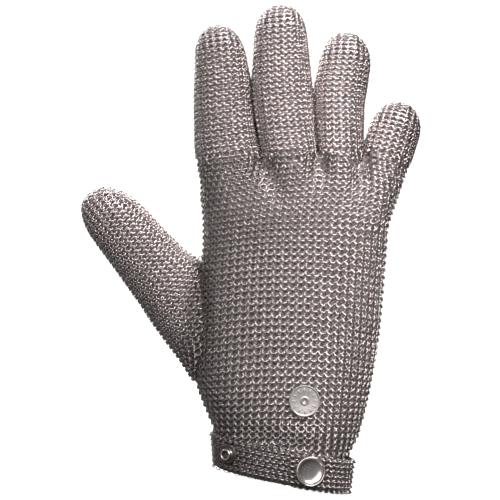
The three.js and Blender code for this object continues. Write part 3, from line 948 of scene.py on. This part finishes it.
class GLOVE_OT_thumb_web(bpy.types.Operator):
    """Weaves the web of the thumb and fills the seam where the thumb joins the hand"""

    bl_idname = "glove.thumb_web"
    bl_label = "Thumb web"

    def execute(self, context):
        settings = context.scene.glove_mail
        laid = ring_centres("thumb_mail", "hand_mail_back_low", "hand_mail_back_high",
                            "hand_mail_palm_low", "hand_mail_palm_high")
        # Painted shade: the web's steel and its inner layer are painted darker, as shade falls in the notch
        # between thumb and hand.
        look = STEEL["web"]
        steel = ring_steel("Ring steel of the web", shade(settings.colour, look["bright"]), look["painted_shading"])
        dark = dark_steel("Inner mail of the web", shade(settings.colour, look["inner"]))
        rings = Rings(settings, 30)
        self.web(settings, rings, laid)
        form = bmesh.new()
        self.web_inner(form)
        for side in (-1, 1):
            self.seam(settings, rings, laid, side, form)
        bmesh.ops.recalc_face_normals(form, faces=form.faces)
        ring_piece("web_mail", rings, steel, "mail")
        walled(piece("web_inner", smooth_mesh("web_inner", form), dark, "mail"))
        return {"FINISHED"}

    def web(self, settings, rings, laid):
        """Rows of rings along the notch, one after the other from the back over the fold to the palm."""
        skin = Skin("thumb", "hand")
        low, high = (math.radians(a) for a in WEB["turn"])
        pitch = settings.stall_pitch
        quarter = (WEB["down"] + WEB["back"]) / 2 * MM * math.pi / 2
        rows = round(2 * quarter / pitch)
        for row in range(rows):
            fold = math.pi * ((row + 0.5) / rows - 0.5)
            through = WEB["back"] if fold < 0 else WEB["palm"]
            reach = (WEB["notch"] + WEB["down"] * (1 - math.cos(fold))) * MM
            turns = np.arange(low * reach, high * reach, settings.stall_step)
            turns = (turns + (settings.stall_step / 2 if row % 2 else 0)) / reach
            away = np.stack([np.sin(turns), np.zeros(len(turns)), -np.cos(turns)], axis=1)
            middle = np.array(WEB["middle"]) * MM
            centre = middle + away * reach + np.array((0, through * MM * math.sin(fold), 0))
            normal = -away * math.cos(fold) * through + np.array((0, WEB["down"] * math.sin(fold), 0))
            across = np.stack([np.cos(turns), np.zeros(len(turns)), np.sin(turns)], axis=1)
            keep = clear_of(laid, centre, CLEAR)
            for i, point in enumerate(centre):
                near, face = skin.tree.find_nearest(Vector(point))[:2]
                keep[i] &= (Vector(point) - near).dot(face) > -0.0006
            if keep.any():
                rings.add(centre[keep], normal[keep], across[keep], pitch, row % 2, ease=0.7, droop=0.0)

    def web_inner(self, form):
        """The layer under the web: an arc of the fold, spun along the notch."""
        low, high = (math.radians(a) for a in WEB["turn"])
        inset = 1.8
        middle = Vector(WEB["middle"]) * MM
        made = []
        for fold in np.linspace(-math.pi / 2, math.pi / 2, 17):
            reach = WEB["notch"] + WEB["down"] - (WEB["down"] - inset) * math.cos(fold)
            through = WEB["back"] if fold < 0 else WEB["palm"]
            place = Vector((0, (through - inset) * math.sin(fold), -reach)) * MM
            made.append(form.verts.new(middle + Matrix.Rotation(-low, 4, "Y") @ place))
        edges = [form.edges.new(pair) for pair in zip(made, made[1:])]
        bmesh.ops.spin(form, geom=made + edges, cent=middle, axis=(0, 1, 0), angle=-(high - low), steps=12,
                       use_merge=False, use_duplicate=False)

    def seam(self, settings, rings, laid, side, form):
        """Rings where the rows of the hand and the thumb leave bare steel between them, on the back of
        the hand (-1) or the palm (1)."""
        hand, thumb = Skin("hand"), Skin("thumb")
        places = np.arange(SEAM["left"], SEAM["right"], SEAM["step"]) * MM
        pitch = 1.6 * MM
        heights = np.arange(SEAM["low"] * MM, SEAM["high"] * MM, pitch)
        faces = np.array([[[self.face(skin, x, z, side) for x in places] for z in heights]
                          for skin in (hand, thumb)])
        seen = (faces[1] > faces[0]).any(axis=1)
        heights, faces = heights[seen], faces[:, seen]
        edge = np.array([places[thumb_row > hand_row].max() for hand_row, thumb_row in zip(*faces)])
        edge = np.convolve(np.pad(edge, 3, mode="edge"), np.ones(7) / 7, mode="valid")
        outer = faces.max(axis=0)
        kernel = np.ones(9) / 9
        soft = np.array([np.convolve(np.pad(row, 4, mode="edge"), kernel, mode="valid") for row in outer])
        outer = np.maximum(outer, soft)
        sheet = []
        for row, (height, middle) in enumerate(zip(heights, edge)):
            x = middle + (np.arange(-2, 3) + (0.5 if row % 2 else 0)) * settings.pitch
            depth = np.interp(x, places, outer[row])
            ends = [np.interp(x + d, places, outer[row]) for d in (0.0005, -0.0005)]
            slope = (ends[0] - ends[1]) / 0.001
            ones, zeros = np.ones(5), np.zeros(5)
            centre = np.stack([x, side * depth, height * ones], axis=1)
            normal = np.stack([-slope, side * ones, zeros], axis=1)
            across = np.stack([-side * ones, -slope, zeros], axis=1)
            keep = clear_of(laid, centre, SEAM_CLEAR) & (depth > 0)
            if keep.any():
                rings.add(centre[keep], normal[keep], across[keep], pitch, row % 2, ease=0.74)
            x = middle + np.linspace(-0.8, 0.8, 5) * settings.pitch
            depth = np.interp(x, places, outer[row]) - 0.0018
            sheet.append([form.verts.new((a, side * b, height)) for a, b in zip(x, depth)])
        for low, high in zip(sheet, sheet[1:]):
            pairs = [pair for line in (low, high) for pair in zip(line, line[1:])]
            ends = [form.edges.get(pair) or form.edges.new(pair) for pair in pairs]
            bmesh.ops.bridge_loops(form, edges=ends)

    def face(self, skin, x, z, side):
        """How far out the skin is on one face of the glove, or far inside where it isn't there."""
        hit = skin.tree.ray_cast(Vector((x, side * 0.1, z)), Vector((0, -side, 0)), 0.2)[0]
        return hit.y * side if hit else -0.001


class GLOVE_OT_strap_mail(bpy.types.Operator):
    """Weaves the wrist strap"""

    bl_idname = "glove.strap_mail"
    bl_label = "Strap mail"

    def execute(self, context):
        settings = context.scene.glove_mail
        # Painted light: the strap's steel is painted brighter, and its gradient paints shade towards the
        # thumb's side.
        look = STEEL["strap"]
        steel = ring_steel("Ring steel of the strap", shade(settings.colour, look["bright"]), look["painted_shading"])
        skin = Skin("wrist_strap")
        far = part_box("wrist_strap")[1].x
        rings = Rings(settings, 20)
        slope = math.tan(math.radians(STRAP["fall"]))
        lines = [{"place": Vector((0, 0, height)), "across": Vector((1, 0, 0)), "depth": Vector((0, 1, 0)),
                  "mark": height, "half": 0.034, "farther": 0.008, "bend": lambda x: -x * slope}
                 for height in np.arange(0.0005, 0.0186, 0.001)]
        sheath = Sheath(skin, lines, WIDE_SAMPLES, 0.8, 0.05, 0.03, beyond=1.5)
        # The strap's inner layer is painted dark, partly as shade of the far links.
        dark = dark_steel("Inner mail of the strap", shade(settings.colour, look["inner"]))
        first, last = (sheath.at_mark(mark) for mark in STRAP["inner"])
        lining("strap_inner", sheath, INSET["strap"], first, last, LAYER_STEP["strap"], dark, "strap_mail",
               closed_tip=False, bridged=0.0)
        rows = STRAP["rows"]
        angles = np.arange(360) * 2 * math.pi / 360
        for index in range(rows):
            height = STRAP["lowest"] + STRAP["height"] * index / (rows - 1)
            points = []
            for angle in angles:
                way = Vector((math.sin(angle), -math.cos(angle), 0))
                start = Vector((0, 0, height))
                hit, side = None, far * way.x
                for _ in range(3):
                    hit = skin.last_hit(start - Vector((0, 0, side * slope)), way, 0.06) or hit
                    side = hit.x if hit else side * 0.9
                points.append(tuple(hit) if hit else (math.nan,) * 3)
            curve = np.array(points)
            found = np.isfinite(curve[:, 0])
            for c in range(3):
                curve[:, c] = np.interp(angles, angles[found], curve[found, c], period=2 * math.pi)
            misses = np.abs(curve[:, 0] - STRAP["start"]) + (curve[:, 1] > 0) * 1.0
            start = int(np.argmin(misses)) + 1
            curve = np.roll(curve, -start, axis=0)
            steps = np.linalg.norm(np.diff(curve, axis=0), axis=1)
            lengths = np.concatenate([[0.0], np.cumsum(steps)])
            shift = settings.strap_step * (0.75 if index % 2 else 0.25)
            stops = np.arange(shift, lengths[-1], settings.strap_step)
            smooth = smooth_open(curve, 4)
            behind, centre, ahead = (
                np.stack([np.interp(stops + offset, lengths, smooth[:, c]) for c in range(3)], axis=1)
                for offset in (-0.0006, 0.0, 0.0006))
            across = ahead - behind
            normal = np.cross(across, np.array([0.0, 0.0, 1.0]))
            rings.add(centre, normal, across, settings.strap_pitch, index % 2)
        ring_piece("strap_mail", rings, steel, "strap_mail", "wrist_strap")
        return {"FINISHED"}


def smooth_open(values, width):
    """A running mean along a line with two ends."""
    kernel = np.ones(2 * width + 1) / (2 * width + 1)
    padded = np.concatenate([np.repeat(values[:1], width, 0), values, np.repeat(values[-1:], width, 0)])
    return np.stack([np.convolve(padded[:, c], kernel, mode="valid") for c in range(3)], axis=1)


# The hardware


def axis_of(name):
    """The turning axis of a round CAD node: a point on it and its outward direction."""
    points = np.array([tuple(v.co) for v in nodes[name].data.vertices])
    points = np.unique(points.round(7), axis=0)
    middle = points.mean(axis=0)
    values, vectors = np.linalg.eigh(np.cov((points - middle).T))
    gaps = [abs(values[1] - values[2]), abs(values[0] - values[2]), abs(values[0] - values[1])]
    normal = Vector(vectors[:, int(np.argmin(gaps))])
    if normal.y > 0:
        normal.negate()
    heights = (points - middle) @ np.array(normal)
    return Vector(middle), normal, float(heights.max())


def seat(name, height):
    """A matrix whose Z leaves the glove at a round node, with its origin this far below the node's top."""
    middle, normal, top = axis_of(name)
    up = Vector((0, 0, 1))
    side = up.cross(normal).normalized()
    up = normal.cross(side)
    turn = Matrix((side, up, normal)).transposed().to_4x4()
    return Matrix.Translation(middle + normal * (top - height)) @ turn


def turned(name, profile, place, steps=72):
    """A mesh spun from a closed profile of radius and height, in millimetres."""
    form = bmesh.new()
    made = [form.verts.new((radius * MM, 0, height * MM)) for radius, height in profile]
    edges = [form.edges.new(pair) for pair in zip(made, made[1:])]
    bmesh.ops.spin(form, geom=made + edges, cent=(0, 0, 0), axis=(0, 0, 1), angle=2 * math.pi,
                   steps=steps, use_merge=True, use_duplicate=False)
    bmesh.ops.remove_doubles(form, verts=form.verts, dist=0.000003)
    bmesh.ops.recalc_face_normals(form, faces=form.faces)
    bmesh.ops.transform(form, matrix=place, verts=form.verts)
    return smooth_mesh(name, form)


def arc(centre, radius, start, end, count):
    """Points of an arc of a profile, in degrees."""
    turns = [math.radians(a) for a in np.linspace(start, end, count)]
    return [(centre[0] + radius * math.cos(a), centre[1] + radius * math.sin(a)) for a in turns]


class GLOVE_OT_snap_cap(bpy.types.Operator):
    """Presses the dished cap of the snap"""

    bl_idname = "glove.snap_cap"
    bl_label = "Snap cap"

    def execute(self, context):
        settings = context.scene.glove_hardware
        radius = settings.cap_radius / MM
        rim = 0.42
        profile = [(0, -4.6), (2.0, -4.6), (2.0, 0.0), (radius - 0.4, 0.0)]
        profile += arc((radius - 0.4, 0.4), 0.4, -90, 0, 5)
        profile += [(radius, 1.2)]
        profile += arc((radius - rim, 2.6 - rim), rim, 0, 180, 11)
        profile += [(radius - 2 * rim - 0.1, 1.75), (radius * 0.82, 1.4), (radius * 0.7, 1.05),
                    (radius * 0.56, 0.82), (radius * 0.4, 0.7), (radius * 0.2, 0.64), (0, 0.62)]
        material = polished_steel("Polished snap", shade(settings.cap_colour, 0.88), 0.2)
        piece("cap_shell", turned("cap_shell", profile, seat("snap_cap", 2.6 * MM)), material, "snap",
              "snap_cap")
        return {"FINISHED"}


class GLOVE_OT_ring_stud(bpy.types.Operator):
    """Turns the unused stud and its flange"""

    bl_idname = "glove.ring_stud"
    bl_label = "Ring stud"

    def execute(self, context):
        settings = context.scene.glove_hardware
        radius = settings.stud_radius / MM
        bore = radius - 0.65
        profile = [(0, -2.2), (1.2, -2.2), (1.2, 0.0), (4.3, 0.0)]
        profile += arc((4.25, 0.25), 0.25, -90, 60, 6)
        profile += [(3.9, 0.66), (3.4, 0.5), (radius + 0.3, 0.5), (radius - 0.05, 0.8), (radius - 0.3, 1.4),
                    (radius - 0.28, 1.9)]
        profile += arc(((radius + bore) / 2, 2.55), (radius - bore) / 2, -20, 200, 12)
        profile += [(bore + 0.05, 1.6), (bore, 0.6), (bore - 0.3, 0.2), (0, 0.1)]
        mesh = turned("stud_body", profile, Matrix.Identity(4))
        flange = [math.hypot(*face.center[:2]) > radius * MM or face.center.length < bore * MM
                  for face in mesh.polygons]
        mesh.transform(seat("ring_stud", 3.0 * MM))
        made = piece("stud_body", mesh, polished_steel("Stud ring", shade(settings.cap_colour, 0.95), 0.24),
                     "stud", "ring_stud")
        made.data.materials.append(polished_steel("Stud flange", (0.095, 0.078, 0.074), 0.45))
        made.data.polygons.foreach_set("material_index", np.array(flange, dtype=np.int32))
        return {"FINISHED"}


class GLOVE_OT_badge_disc(bpy.types.Operator):
    """Stamps the round disc with its rim, plain marks and rivet"""

    bl_idname = "glove.badge_disc"
    bl_label = "Badge disc"

    def execute(self, context):
        settings = context.scene.glove_hardware
        radius = settings.disc_radius / MM
        place = seat("badge_disc", 1.7 * MM)
        profile = [(0, -3.1), (1.2, -3.1), (1.2, 0.0), (radius - 0.25, 0.0)]
        profile += arc((radius - 0.25, 0.25), 0.25, -90, 0, 4)
        profile += arc((radius - 0.3, 0.95), 0.3, 0, 150, 8)
        profile += [(radius - 0.75, 0.98), (radius - 1.0, 0.96), (2.4, 0.96), (2.05, 0.9), (1.95, 1.1)]
        profile += arc((1.6, 1.2), 0.34, 20, 175, 9)
        profile += [(1.2, 0.9), (1.1, 0.4), (0.9, 0.1), (0, 0.0)]
        mesh = turned("disc_body", profile, Matrix.Identity(4))
        form = bmesh.new()
        form.from_mesh(mesh)
        for i in range(settings.marks):
            angle = 2 * math.pi * (i // 2 + 0.11 * (i % 2)) / (settings.marks // 2)
            stand = (Matrix.Rotation(angle, 4, "Z") @ Matrix.Translation((5.1 * MM, 0, 0.93 * MM))
                     @ Matrix.Diagonal((2.0 * MM, 0.5 * MM, 0.42 * MM, 1)))
            made = bmesh.ops.create_cube(form, size=1, matrix=stand)["verts"]
            edges = list({e for v in made for e in v.link_edges})
            bmesh.ops.bevel(form, geom=edges, offset=0.12 * MM, segments=2, profile=0.5,
                            affect="EDGES", material=-1)
        bmesh.ops.transform(form, matrix=place, verts=form.verts)
        form.to_mesh(mesh)
        form.free()
        mesh.polygons.foreach_set("use_smooth", np.ones(len(mesh.polygons), bool))
        material = satin_steel("Satin disc", shade(settings.disc_colour, 0.88))
        piece("disc_body", mesh, material, "disc", "badge_disc")
        return {"FINISHED"}


# The studio


class GLOVE_OT_studio(bpy.types.Operator):
    """Sets the floor, the lights and the camera"""

    bl_idname = "glove.studio"
    bl_label = "Studio"

    def execute(self, context):
        settings = context.scene.glove_studio
        scene = context.scene
        scene.view_settings.view_transform = "Standard"
        floor = self.surround("floor", scene, 0.93)
        backdrop = self.surround("backdrop", scene, 0.97)
        for name, key, place, size in LIGHTS:
            self.light(name, place, size, getattr(settings, key))
        self.world(scene)
        camera = bpy.data.cameras.new("Camera")
        camera.sensor_width = CAMERA["sensor"]
        camera.lens = CAMERA["sensor"] * settings.distance / CAMERA["width"]
        camera.clip_start, camera.clip_end = 0.01, 50.0
        eye = bpy.data.objects.new("Camera", camera)
        eye.location = (CAMERA["across"], -settings.distance, CAMERA["up"])
        eye.rotation_euler = (math.pi / 2, 0, 0)
        scene.collection.objects.link(eye)
        scene.camera = eye
        return {"FINISHED"}

    def surround(self, name, scene, tone):
        """The floor or the dome round it: both plain and pale, lit evenly, and seen only by the camera."""
        form = bmesh.new()
        if name == "floor":
            bmesh.ops.create_circle(form, cap_ends=True, segments=128, radius=3.0,
                                    matrix=Matrix.Translation((0, 0, cad_box[0].z)))
        else:
            bmesh.ops.create_uvsphere(form, u_segments=64, v_segments=32, radius=3.2)
            bmesh.ops.reverse_faces(form, faces=form.faces)
        mesh = bpy.data.meshes.new(name)
        form.to_mesh(mesh)
        form.free()
        made = bpy.data.objects.new(name, mesh)
        scene.collection.objects.link(made)
        pale = Finish("Pale " + name, Base_Color=(tone, tone, tone, 1), Roughness=1.0)
        pale.shader.inputs["Emission Color"].default_value = (1, 1, 1, 1)
        pale.shader.inputs["Emission Strength"].default_value = 1.0
        mesh.materials.append(pale.material)
        made.visible_diffuse = made.visible_glossy = made.visible_transmission = False
        made.visible_shadow = False
        return made

    def light(self, name, place, size, power):
        lamp = bpy.data.lights.new(name, "AREA")
        lamp.shape = "DISK"
        lamp.size = size
        lamp.energy = power
        holder = bpy.data.objects.new(name, lamp)
        holder.location = place
        holder.rotation_euler = (LIT - Vector(place)).to_track_quat("-Z", "Y").to_euler()
        holder.visible_camera = False
        bpy.context.scene.collection.objects.link(holder)

    def world(self, scene):
        """A dim room, brighter overhead and to the left."""
        world = bpy.data.worlds.new("Studio")
        scene.world = world
        world.use_nodes = True
        tree = world.node_tree
        place = tree.nodes.new("ShaderNodeTexCoord")
        split = tree.nodes.new("ShaderNodeSeparateXYZ")
        tree.links.new(place.outputs["Generated"], split.inputs[0])
        height = Socket(tree, split.outputs["Z"])
        side = Socket(tree, split.outputs["X"])
        glow = (height * 0.25 - side * 0.14 + 0.28)._maths("MAXIMUM", 0.06)
        tree.nodes["Background"].inputs["Color"].default_value = (1, 1, 1, 1)
        tree.links.new(glow.value, tree.nodes["Background"].inputs["Strength"])


class GLOVE_PT_panel(bpy.types.Panel):
    """Lists the pieces of the glove"""

    bl_idname = "GLOVE_PT_panel"
    bl_label = "Ring mail glove"
    bl_space_type = "VIEW_3D"
    bl_region_type = "UI"
    bl_category = "Glove"

    def draw(self, context):
        layout = self.layout
        for group in ("glove_mail", "glove_hardware", "glove_studio"):
            box = layout.box()
            settings = getattr(context.scene, group)
            for name in settings.bl_rna.properties.keys():
                if name not in ("rna_type", "name"):
                    box.prop(settings, name)
        for operator in OPERATORS:
            layout.operator(operator.bl_idname)


GROUPS = {"glove_mail": MailSettings, "glove_hardware": HardwareSettings, "glove_studio": StudioSettings}
OPERATORS = (
    GLOVE_OT_hand_mail, GLOVE_OT_stall_mail, GLOVE_OT_thumb_web, GLOVE_OT_strap_mail,
    GLOVE_OT_snap_cap, GLOVE_OT_ring_stud, GLOVE_OT_badge_disc, GLOVE_OT_studio,
)


def register():
    for name, group in GROUPS.items():
        bpy.utils.register_class(group)
        setattr(bpy.types.Scene, name, bpy.props.PointerProperty(type=group))
    for made in (*OPERATORS, GLOVE_PT_panel):
        bpy.utils.register_class(made)


def unregister():
    for made in (GLOVE_PT_panel, *reversed(OPERATORS)):
        bpy.utils.unregister_class(made)
    for name, group in GROUPS.items():
        delattr(bpy.types.Scene, name)
        bpy.utils.unregister_class(group)


def main():
    register()
    for operator in OPERATORS:
        family, name = operator.bl_idname.split(".")
        getattr(getattr(bpy.ops, family), name)()


if __name__ == "__main__":
    main()
